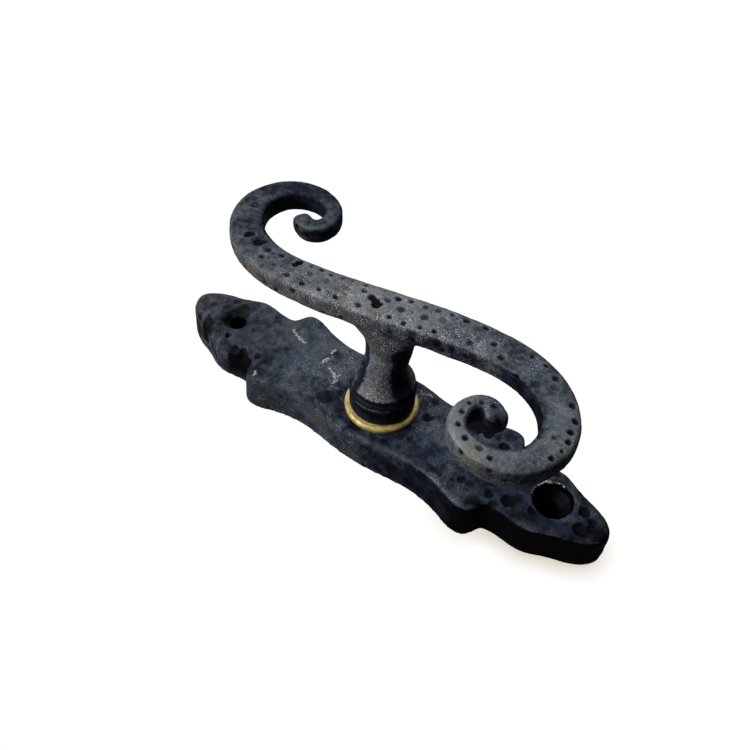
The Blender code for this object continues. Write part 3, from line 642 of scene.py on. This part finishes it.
def make_handle_casting():
    """Lever and neck, hammered on top."""
    solid = slice_solid(copy_solid("scroll_handle"), journal_top(), keep_above=True)
    obj = new_piece("handle_casting", mesh_from(solid, "handle_casting"))
    surface = Surface(even_mesh(obj, HANDLE_VOXEL))
    height = surface.points[:, 2]
    reach = np.hypot(surface.points[:, 0], surface.points[:, 1])
    lever_share = np.maximum(smoothstep(*LEVER_HEIGHTS, height), smoothstep(*LEVER_REACHES, reach))
    surface.relax(CASTING_ROUNDS, np.ones(len(height)))
    surface.relax(LEVER_ROUNDS, lever_share)
    fillet = smoothstep(*FILLET_START, height) * (1 - smoothstep(*FILLET_REACH, reach))
    fillet *= 1 - smoothstep(*FILLET_END, height)
    surface.relax(FILLET_ROUNDS, fillet)
    paint_handle_wear_and_light(surface, lever_share)

    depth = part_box("scroll_handle")[1].z - surface.points[:, 2]
    face = (depth < LEVER_TOP_DEPTH) & (surface.normals[:, 2] > LEVER_TOP_SLOPE)
    sides = (depth < LEVER_SIDE_DEPTH) & (np.abs(surface.normals[:, 2]) < LEVER_SIDE_SLOPE)
    surface.press(layered(surface.points, LEVER_WAVES) * MM * lever_share)
    centres = scattered(surface.points, sides, SIDE_DENT_SPACING, SIDE_DENT_SEED, SIDE_DENT_TRIES)
    dents = dent(surface, sides, centres, SIDE_DENT_RADII, SIDE_DENT_DEPTH, SIDE_DENT_SIZE_SEED)
    surface.pit_and_shade = np.maximum(surface.pit_and_shade, SIDE_DENT_SHADE * dents)
    stamp(surface, face, LEVER_MARKS, LEVER_MARK_DEPTH, LEVER_MARK_SOFTNESS, LEVER_MARK_SHADE,
          LEVER_MARK_SIZE)
    rough = NECK_ROUGHNESS + (1 - NECK_ROUGHNESS) * lever_share
    surface.press(layered(surface.points, LEVER_ROUGHNESS) * MM * rough)
    surface.finish()
    return obj


def make_handle_journal():
    """The turned part that runs in the bush, with its flats, groove and square socket."""
    solid = slice_solid(copy_solid("scroll_handle"), journal_top(), keep_above=False)
    obj = new_piece("handle_journal", mesh_from(solid, "handle_journal"))
    obj.data.shade_smooth()
    obj.data.set_sharp_from_angle(angle=JOURNAL_SHARP)
    return obj


# ---- plate

def away_from_holes(points, margin):
    """Whether each point is clear of the screw holes and the bush."""
    clear = np.hypot(points[:, 0], points[:, 1]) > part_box("brass_bush")[1].x + margin
    for x, y, radius, _ in PLATE_HOLES:
        clear &= np.hypot(points[:, 0] - x * MM, points[:, 1] - y * MM) > radius * MM + margin
    return clear


def round_rim(surface, top):
    """Wear the plate's upper rim to a radius that varies along it."""
    points, normals = surface.points, surface.normals
    depths = top - points[:, 2]
    upper, lower = RIM_WALL_DEPTHS
    wall = (np.abs(normals[:, 2]) < RIM_WALL_SLOPE) & (depths < lower) & (depths > upper)
    rim = np.nonzero(wall & away_from_holes(points, RIM_MARGIN))[0]
    tree = kdtree.KDTree(len(rim))
    for slot, index in enumerate(rim):
        tree.insert((points[index, 0], points[index, 1], 0.0), slot)
    tree.balance()
    near = along(NEAR_RIM, points[:, 0])
    far = along(FAR_RIM, points[:, 0])
    side = smoothstep(-RIM_BLEND, RIM_BLEND, points[:, 1])
    radii = (near * (1 - side) + far * side) * MM * (1 + layered(points, RIM_OUTLINE))
    for index in np.nonzero(depths < radii)[0]:
        radius = radii[index]
        place, slot, _ = tree.find((points[index, 0], points[index, 1], 0.0))
        inwards = -normals[rim[slot], :2]
        inwards = inwards / np.linalg.norm(inwards)
        offset = points[index, :2] - np.array(place[:2])
        distance = max(float(offset @ inwards), 0.0)
        if distance >= radius:
            continue
        short = np.array((radius - distance, radius - depths[index]))
        length = float(np.hypot(*short))
        if length <= radius:
            continue
        moved = short * (radius / length)
        points[index, :2] += inwards * (short[0] - moved[0])
        points[index, 2] -= short[1] - moved[1]
    surface.write()


def raise_burr(surface, top):
    """The lip of metal that the drill threw up round the right sink."""
    x, y, radius, _ = PLATE_HOLES[1]
    east, north = surface.points[:, 0] - x * MM, surface.points[:, 1] - y * MM
    angle = np.mod(np.arctan2(north, east), 2 * math.pi)
    start, end = BURR_ANGLES
    share = smoothstep(start, start + BURR_FADE, angle) * (1 - smoothstep(end - BURR_FADE, end, angle))
    out = (np.hypot(east, north) - radius * MM) / BURR_WIDTH
    share *= smoothstep(*BURR_RISE, out) * (1 - smoothstep(*BURR_FALL, out))
    share *= (surface.points[:, 2] > top - BURR_DEPTH) & (surface.normals[:, 2] > BURR_SLOPE)
    share *= BURR_MEAN + layered(surface.points, BURR_OUTLINE)
    share = np.clip(share, 0, 1)
    surface.points[:, 2] += share * BURR_HEIGHT
    surface.bare = np.maximum(surface.bare, smoothstep(*BURR_BARE, share))


def paint_plate_wear_and_light(surface, top):
    """The black is worn off the face; walls get painted light at the left and painted shade at the right;
    sinks and stains are black, and bores and a patch under the lever painted shade.
    """
    points, normals = surface.points, surface.normals
    facing_up = smoothstep(*TOP_FACING, normals[:, 2])
    walls = 1 - facing_up
    face = blended(points, PLATE_WEAR, PLATE_BLEND)
    # Walls: wear with painted light that falls off towards the right end
    surface.wear_and_light = face * facing_up + along(PLATE_WALL_WEAR_AND_LIGHT, points[:, 0]) * walls
    # Near wall: painted shade towards its right end
    near = normals[:, 1] < 0
    surface.pit_and_shade = along(PLATE_WALL_SHADE, points[:, 0]) * near * walls
    surface.grit = blended(points, PLATE_GRIT, PLATE_GRIT_BLEND) * facing_up + PLATE_WALL_GRIT * walls
    surface.warm = along(PLATE_WARMTH, points[:, 0])
    ragged = 1 + layered(points, STAIN_AND_SHADE_OUTLINE)
    # Black stains, and painted shade on the face under the lever
    for x, y, radius, black in PLATE_STAINS_AND_SHADE:
        out = np.hypot(points[:, 0] - x * MM, points[:, 1] - y * MM) / (radius * MM * ragged)
        stain_and_shade = black * (1 - smoothstep(*STAIN_AND_SHADE_RIM, out)) * (points[:, 2] > top - STAIN_AND_SHADE_REACH)
        surface.pit_and_shade = np.maximum(surface.pit_and_shade, stain_and_shade)
    for x, y, sink, sink_black in PLATE_HOLES:
        out = np.hypot(points[:, 0] - x * MM, points[:, 1] - y * MM)
        inside = 1 - smoothstep(*SINK_RIM, out / (sink * MM))
        # The bore is painted black, as shade inside the hole
        bore_shade = 1 - smoothstep(*BORE_RIM, out / BORE_RADIUS)
        sunk = inside * smoothstep(*SINK_DEPTHS, top - points[:, 2]) * sink_black
        sunk = np.maximum(sunk, bore_shade)
        surface.pit_and_shade = np.maximum(surface.pit_and_shade, sunk)
        surface.wear_and_light *= 1 - sunk


def make_plate_casting():
    """The plate, hammered on its face, with worn rims."""
    obj = new_piece("plate_casting", mesh_from(copy_solid("backplate"), "plate_casting"))
    surface = Surface(even_mesh(obj, PLATE_VOXEL))
    everywhere = np.ones(len(surface.points))
    surface.relax(CASTING_ROUNDS, everywhere)
    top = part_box("backplate")[1].z
    round_rim(surface, top)
    surface.relax(CASTING_ROUNDS, everywhere)
    x, y, radius, _ = PLATE_HOLES[0]
    out = np.hypot(surface.points[:, 0] - x * MM, surface.points[:, 1] - y * MM) / (radius * MM)
    soft_ring = smoothstep(*SOFT_RING_INNER, out) * (1 - smoothstep(*SOFT_RING_OUTER, out))
    surface.relax(LEFT_SINK_ROUNDS, soft_ring)
    lower_edge = 1 - smoothstep(*LOWER_EDGE_HEIGHTS, surface.points[:, 2])
    surface.relax(LOWER_EDGE_ROUNDS, lower_edge * smoothstep(*LOWER_EDGE_PLACES, surface.points[:, 0]))
    paint_plate_wear_and_light(surface, top)

    reach = np.hypot(surface.points[:, 0], surface.points[:, 1])
    outside = smoothstep(*DISH_RADII, reach)
    upper = surface.points[:, 2] > top - FACE_DEPTH
    face = upper & (surface.normals[:, 2] > FACE_SLOPE)
    works = (1 - smoothstep(*WORKS_RADII, reach)) * (surface.points[:, 2] < top - WORKS_DEPTH)
    surface.press(works * WORKS_CLEARANCE)
    outer = smoothstep(*FLAT_BACK, surface.points[:, 2]) * (1 - works)
    surface.press(layered(surface.points, PLATE_WAVES) * MM * outer * np.where(face, outside, 1.0))
    clear = face & away_from_holes(surface.points, MARK_MARGIN)
    stamp(surface, clear, PLATE_MARKS, PLATE_MARK_DEPTH, PLATE_MARK_SOFTNESS, PLATE_MARK_SHADE)
    clear = upper & away_from_holes(surface.points, MARK_MARGIN)
    stamp(surface, clear, PLATE_PITS, PLATE_PIT_DEPTH, PLATE_PIT_SOFTNESS, PLATE_PIT_SHADE)
    raise_burr(surface, top)
    scratch(surface, face, SCRATCHES, SCRATCH_WIDTH)
    surface.press(layered(surface.points, PLATE_ROUGHNESS) * MM * outer)
    dish = face & (surface.points[:, 2] > top - DISH_SKIN)
    surface.points[:, 2] -= DISH_DEPTH * (1 - outside) * dish
    surface.finish()
    return obj


# ---- bush

def make_bush_piece():
    """The brass bush, turned again with more steps and a rounder flange."""
    low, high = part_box("brass_bush")
    points = np.array([v.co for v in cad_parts["brass_bush"].data.vertices])
    inner = np.hypot(points[:, 0], points[:, 1]).min()
    flange = high.x
    sleeve = flange - FLANGE_OVERHANG
    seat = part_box("backplate")[1].z - FLANGE_SINK
    profile = [(inner, low.z), (sleeve, low.z), (sleeve, seat), (flange - BUSH_BEVEL, seat)]
    for step in range(CORNER_STEPS + 1):
        angle = 0.5 * math.pi * step / CORNER_STEPS
        out = flange - FLANGE_CORNER * (1 - math.cos(angle))
        profile.append((out, high.z - FLANGE_CORNER * (1 - math.sin(angle))))
    profile += [(inner + BUSH_BEVEL, high.z), (inner, high.z - BUSH_BEVEL)]
    bm = bmesh.new()
    rings = []
    for i in range(BUSH_STATIONS):
        angle = 2 * math.pi * i / BUSH_STATIONS
        rings.append([bm.verts.new((r * math.cos(angle), r * math.sin(angle), z)) for r, z in profile])
    for here, there in zip(rings, rings[1:] + rings[:1]):
        for k in range(len(profile)):
            m = (k + 1) % len(profile)
            bm.faces.new((here[k], there[k], there[m], here[m]))
    bmesh.ops.recalc_face_normals(bm, faces=bm.faces)
    obj = new_piece("bush_ring", mesh_from(bm, "bush_ring"))
    obj.data.shade_smooth()
    obj.data.set_sharp_from_angle(angle=BUSH_SHARP)
    return obj


# ---- materials

class Nodes:
    """Short calls for building a material's node tree."""

    def __init__(self, name):
        self.material = bpy.data.materials.new(name)
        self.material.use_nodes = True
        self.tree = self.material.node_tree
        self.shader = self.tree.nodes["Principled BSDF"]
        self.place = self.add("ShaderNodeTexCoord").outputs["Object"]

    def add(self, kind, **settings):
        node = self.tree.nodes.new(kind)
        for key, value in settings.items():
            setattr(node, key, value)
        return node

    def link(self, source, target):
        self.tree.links.new(source, target)

    def noise(self, size, detail=3.0, roughness=0.55, distortion=0.0):
        """Noise whose patches are about this size in metres."""
        node = self.add("ShaderNodeTexNoise")
        self.link(self.place, node.inputs["Vector"])
        node.inputs["Scale"].default_value = 1.0 / size
        node.inputs["Detail"].default_value = detail
        node.inputs["Roughness"].default_value = roughness
        node.inputs["Distortion"].default_value = distortion
        return node.outputs["Fac"]

    def attribute(self, name):
        return self.add("ShaderNodeAttribute", attribute_name=name).outputs["Fac"]

    def value(self, source, low, high, to_low=0.0, to_high=1.0):
        """Map a range of a value to another, clamped."""
        node = self.add("ShaderNodeMapRange")
        node.inputs["From Min"].default_value = low
        node.inputs["From Max"].default_value = high
        node.inputs["To Min"].default_value = to_low
        node.inputs["To Max"].default_value = to_high
        self.link(source, node.inputs["Value"])
        return node.outputs["Result"]

    def math(self, operation, a, b):
        node = self.add("ShaderNodeMath", operation=operation)
        for socket, item in zip(node.inputs, (a, b)):
            if isinstance(item, (int, float)):
                socket.default_value = item
            else:
                self.link(item, socket)
        return node.outputs[0]

    def mix(self, factor, a, b, blend='MIX'):
        """Mix two colours; each is a tuple or a socket."""
        node = self.add("ShaderNodeMix", data_type='RGBA', blend_type=blend)
        for socket, item in ((node.inputs[0], factor), (node.inputs[6], a), (node.inputs[7], b)):
            if isinstance(item, tuple):
                socket.default_value = (*item, 1.0)
            elif isinstance(item, (int, float)):
                socket.default_value = item
            else:
                self.link(item, socket)
        return node.outputs[2]

    def grey(self, shade):
        node = self.add("ShaderNodeCombineColor")
        for socket in node.inputs[:3]:
            self.link(shade, socket)
        return node.outputs[0]

    def bump(self, height, distance, strength, base=None):
        node = self.add("ShaderNodeBump")
        node.inputs["Distance"].default_value = distance
        node.inputs["Strength"].default_value = strength
        self.link(height, node.inputs["Height"])
        if base:
            self.link(base, node.inputs["Normal"])
        return node.outputs["Normal"]

    def set(self, **inputs):
        for name, item in inputs.items():
            socket = self.shader.inputs[name.replace("_", " ")]
            if isinstance(item, bpy.types.NodeSocket):
                self.link(item, socket)
            elif isinstance(item, tuple):
                socket.default_value = (*item, 1.0)
            else:
                socket.default_value = item


def iron_material(name, blue_black, worn, khaki, mottle, glint_low):
    """Blackened cast iron: mottled, worn grey where it is handled, with bright grains painted in the worn
    areas as glints.

    It reads what Surface.finish stored: wear_and_light, pit_and_shade, edge, grit, bare and warm.
    """
    n = Nodes(name)
    broad = n.noise(MOTTLE_SIZE, 4.0, 0.6, 0.4)
    middle = n.noise(PATCH_SIZE, 4.0, 0.65)
    fine = n.noise(FINE_SIZE, 2.0, 0.6)
    edge = n.attribute("edge")
    pit_and_shade = n.attribute("pit_and_shade")
    grit = n.attribute("grit")
    bare = n.attribute("bare")
    warm = n.attribute("warm")

    uneven = n.math('ADD', n.value(broad, 0.2, 0.8, -mottle, mottle), n.value(middle, 0.2, 0.8, -0.36, 0.36))
    amount = n.math('ADD', n.attribute("wear_and_light"), uneven)
    amount = n.math('ADD', amount, n.value(edge, -0.6, 1.6, -0.12, 0.20))
    amount = n.value(amount, 0.0, 1.15)
    tone = n.math('POWER', amount, 1.35)
    black = n.mix(n.value(n.noise(FILM_SIZE, 2.0), 0.40, 0.62), SOOT_BLACK, blue_black)
    bright = n.mix(n.math('MAXIMUM', n.value(n.noise(KHAKI_SIZE, 3.0), 0.48, 0.64), warm), worn, khaki)
    cool = tuple(share * part for share, part in zip(HALF_WORN, worn))
    bright = n.mix(n.math('MAXIMUM', n.value(amount, 0.2, 0.8), warm), cool, bright)
    colour = n.mix(tone, black, bright)
    swing = n.math('MULTIPLY', n.value(fine, 0.30, 0.72, -1.0, 1.0), n.value(grit, 0.0, 1.0, 0.20, 0.85))
    colour = n.mix(1.0, colour, n.grey(n.math('ADD', swing, 1.0)), 'MULTIPLY')
    # Pits, stains and painted shade turn black
    deep = n.value(pit_and_shade, 0.05, 0.42)
    colour = n.mix(n.math('MULTIPLY', deep, 0.985), colour, PIT_AND_SHADE_BLACK)
    # Painted glints: bright grains in the colour, standing in for sparkle off the grit
    glints = n.value(n.noise(GLINT_SIZE, 1.0), glint_low, glint_low + 0.04)
    glints = n.math('MULTIPLY', glints, n.value(n.noise(GLINT_CLOUD_SIZE, 3.0), 0.40, 0.58, 0.10, 1.0))
    glints = n.math('MULTIPLY', glints, n.value(grit, 0.05, 0.8))
    glints = n.math('MULTIPLY', glints, n.value(amount, 0.05, 0.35))
    glints = n.math('MULTIPLY', glints, n.value(deep, 0.1, 0.6, 1.0, 0.0))
    colour = n.mix(n.math('MULTIPLY', glints, 0.95), colour, GLINT_WHITE)
    core = n.math('MULTIPLY', n.value(bare, 0.55, 0.80), n.value(n.noise(BARE_SIZE, 2.0), 0.44, 0.56))
    cracks = n.add("ShaderNodeTexVoronoi", feature='DISTANCE_TO_EDGE')
    n.link(n.place, cracks.inputs["Vector"])
    cracks.inputs["Scale"].default_value = 1.0 / CRACK_SIZE
    hair = n.value(cracks.outputs["Distance"], 0.03, 0.08, 1.0, 0.0)
    hair = n.math('MULTIPLY', hair, n.value(bare, 0.05, 0.45, 0.0, 0.7))
    colour = n.mix(n.math('MAXIMUM', core, hair), colour, BARE_METAL)

    normal = n.bump(fine, 0.16 * MM, 0.7)
    normal = n.bump(middle, 0.30 * MM, 0.5, normal)
    n.set(Base_Color=colour, Normal=normal)
    n.set(Roughness=n.value(middle, 0.3, 0.7, 0.44, 0.66), Metallic=n.math('MULTIPLY', tone, 0.45))
    n.set(Specular_IOR_Level=IRON_SPECULAR)
    return n.material


def machined_iron_material():
    """The journal's turned surface, greased and dark."""
    n = Nodes("journal_iron")
    patches = n.noise(3.0 * MM, 4.0)
    colour = n.mix(n.value(patches, 0.4, 0.65), (0.045, 0.046, 0.050), (0.11, 0.105, 0.10))
    lines = n.add("ShaderNodeTexWave", wave_type='BANDS', bands_direction='Z')
    n.link(n.place, lines.inputs["Vector"])
    lines.inputs["Scale"].default_value = 1.0 / (1.2 * MM)
    lines.inputs["Distortion"].default_value = 0.6
    normal = n.bump(lines.outputs["Fac"], 0.02 * MM, 0.5)
    n.set(Base_Color=colour, Roughness=n.value(patches, 0.3, 0.7, 0.32, 0.5), Normal=normal, Metallic=0.8)
    return n.material


def brass_material():
    """Dull pale brass, a little brown in patches, with fine dark handling marks and pale flecks painted as
    highlights.
    """
    n = Nodes("bush_brass")
    patches = n.noise(3.0 * MM, 4.0, 0.6)
    fine = n.noise(0.5 * MM, 3.0)
    colour = n.mix(n.value(patches, 0.38, 0.62), (0.68, 0.52, 0.19), (0.42, 0.31, 0.10))
    # Pale flecks painted as highlights
    colour = n.mix(n.value(fine, 0.55, 0.72, 0.0, 0.6), colour, (0.84, 0.74, 0.44))
    colour = n.mix(n.value(n.noise(1.1 * MM, 3.0), 0.56, 0.70, 0.0, 0.6), colour, (0.10, 0.08, 0.035))
    normal = n.bump(fine, 0.04 * MM, 0.5)
    n.set(Base_Color=colour, Roughness=n.value(fine, 0.3, 0.7, 0.42, 0.58), Normal=normal, Metallic=0.35)
    return n.material


def steel_material(name, light, dark, roughness):
    """Sheet steel, rolled and handled: fine streaks, oily patches."""
    n = Nodes(name)
    patches = n.noise(2.5 * MM, 4.0, 0.6, 0.3)
    fine = n.noise(0.4 * MM, 3.0)
    colour = n.mix(n.value(patches, 0.35, 0.65), light, dark)
    normal = n.bump(fine, 0.02 * MM, 0.4)
    rough = n.value(patches, 0.3, 0.7, roughness, roughness + 0.18)
    n.set(Base_Color=colour, Roughness=rough, Normal=normal, Metallic=0.95)
    return n.material


def paint(obj, material):
    obj.data.materials.clear()
    obj.data.materials.append(material)


def paint_nodes(material, names):
    """Give carried-over CAD nodes a material, through their slots."""
    for name in names:
        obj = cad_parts[name]
        if not obj.material_slots:
            obj.data.materials.append(material)
        for slot in obj.material_slots:
            slot.material = material


# ---- studio

def floor_material():
    """White to the eye, with a soft warm shade by the plate's right and far edges, and dull to the object."""
    n = Nodes("floor_white")
    apart = n.add("ShaderNodeSeparateXYZ")
    n.link(n.place, apart.inputs[0])
    covered = 1.0
    for output, half in zip(apart.outputs, COVERED_FLOOR):
        covered = n.math('MULTIPLY', n.math('LESS_THAN', n.math('ABSOLUTE', output, 0.0), half), covered)
    closeness = n.add("ShaderNodeAmbientOcclusion")
    closeness.inputs["Distance"].default_value = CONTACT_REACH
    contact = n.value(closeness.outputs["AO"], *CONTACT_RANGE, 1.0, 0.0)
    right = n.value(apart.outputs[0], *CONTACT_RIGHT)
    far = n.value(apart.outputs[1], *CONTACT_FAR)
    contact = n.math('MULTIPLY', contact, n.math('MAXIMUM', right, far))
    shade = n.mix(contact, FLOOR_GLOW_COLOUR, CONTACT_COLOUR)
    n.set(Base_Color=(0.0, 0.0, 0.0), Roughness=0.9)
    n.set(Emission_Color=shade, Emission_Strength=n.value(covered, 0.0, 1.0, FLOOR_GLOW, 0.0))
    n.set(Specular_IOR_Level=0.0)
    bounced = n.add("ShaderNodeBsdfDiffuse")
    bounced.inputs["Color"].default_value = (*FLOOR_BOUNCE, 1.0)
    path = n.add("ShaderNodeLightPath")
    mixer = n.add("ShaderNodeMixShader")
    n.link(path.outputs["Is Camera Ray"], mixer.inputs[0])
    n.link(bounced.outputs[0], mixer.inputs[1])
    n.link(n.shader.outputs[0], mixer.inputs[2])
    n.link(mixer.outputs[0], n.tree.nodes["Material Output"].inputs["Surface"])
    return n.material


def make_floor():
    bpy.ops.mesh.primitive_plane_add(size=FLOOR_SIZE, location=(0, 0, -FLOOR_DROP))
    floor = bpy.context.object
    floor.name = "floor"
    paint(floor, floor_material())


def soft_light(name, direction, size, power, colour):
    lamp = bpy.data.lights.new(name, 'AREA')
    lamp.shape = 'SQUARE'
    lamp.size = size
    lamp.energy = power
    lamp.color = colour
    obj = bpy.data.objects.new(name, lamp)
    bpy.context.scene.collection.objects.link(obj)
    way = Vector(direction).normalized()
    obj.location = way * LAMP_DISTANCE
    obj.rotation_euler = way.to_track_quat('Z', 'Y').to_euler()


def make_lights():
    for lamp in LAMPS:
        soft_light(*lamp)
    world = bpy.data.worlds.new("room")
    world.use_nodes = True
    tree = world.node_tree
    dim = tree.nodes["Background"]
    dim.inputs["Color"].default_value = (*WORLD_COLOUR, 1.0)
    dim.inputs["Strength"].default_value = WORLD_LIGHT
    backdrop = tree.nodes.new("ShaderNodeBackground")
    backdrop.inputs["Color"].default_value = (*FLOOR_GLOW_COLOUR, 1.0)
    path = tree.nodes.new("ShaderNodeLightPath")
    mixer = tree.nodes.new("ShaderNodeMixShader")
    tree.links.new(path.outputs["Is Camera Ray"], mixer.inputs[0])
    tree.links.new(dim.outputs[0], mixer.inputs[1])
    tree.links.new(backdrop.outputs[0], mixer.inputs[2])
    tree.links.new(mixer.outputs[0], tree.nodes["World Output"].inputs["Surface"])
    bpy.context.scene.world = world


def make_camera():
    data = bpy.data.cameras.new("camera")
    data.lens = CAMERA_LENS
    data.sensor_width = CAMERA_SENSOR
    data.clip_start = CAMERA_NEAR_CLIP
    camera = bpy.data.objects.new("camera", data)
    bpy.context.scene.collection.objects.link(camera)
    level = math.cos(CAMERA_ELEVATION)
    east, north = math.sin(CAMERA_AZIMUTH) * level, -math.cos(CAMERA_AZIMUTH) * level
    back = Vector((east, north, math.sin(CAMERA_ELEVATION)))
    right = (-back).cross(Vector((0, 0, 1))).normalized()
    up = right.cross(-back)
    turn = Matrix((right, up, back)).transposed().to_4x4() @ Matrix.Rotation(CAMERA_ROLL, 4, 'Z')
    camera.matrix_world = Matrix.Translation(CAMERA_TARGET + back * CAMERA_DISTANCE) @ turn
    bpy.context.scene.camera = camera


def set_exposure():
    view = bpy.context.scene.view_settings
    view.view_transform = 'Standard'
    view.look = 'None'
    view.exposure = 0.0
    view.gamma = 1.0


# ---- assembly

def place(obj, body, slot, node):
    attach(obj, body)
    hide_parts(node)


handle = make_handle_casting()
paint(handle, iron_material(
    "handle_iron", blue_black=(0.010, 0.013, 0.028), worn=(0.150, 0.160, 0.178),
    khaki=(0.140, 0.138, 0.112), mottle=0.45, glint_low=0.60))
place(handle, "handle", "scroll_handle", "scroll_handle")
journal = make_handle_journal()
paint(journal, machined_iron_material())
place(journal, "handle", "scroll_handle", "scroll_handle")
plate = make_plate_casting()
paint(plate, iron_material(
    "plate_iron", blue_black=(0.011, 0.015, 0.032), worn=(0.084, 0.099, 0.122),
    khaki=(0.098, 0.094, 0.082), mottle=0.62, glint_low=0.62))
place(plate, "plate", "backplate", "backplate")
bush = make_bush_piece()
paint(bush, brass_material())
place(bush, "plate", "brass_bush", "brass_bush")

blued = steel_material("blued_spring_steel", (0.13, 0.14, 0.19), (0.07, 0.075, 0.10), 0.28)
paint_nodes(blued, ("wave_washer", "retaining_clip", "detent_spring_left", "detent_spring_right"))
zinc = steel_material("zinc_plated_steel", (0.56, 0.57, 0.58), (0.40, 0.41, 0.41), 0.34)
paint_nodes(zinc, ("stop_washer", "index_cam", "spring_screw_left", "spring_screw_right"))

make_floor()
make_lights()
make_camera()
set_exposure()
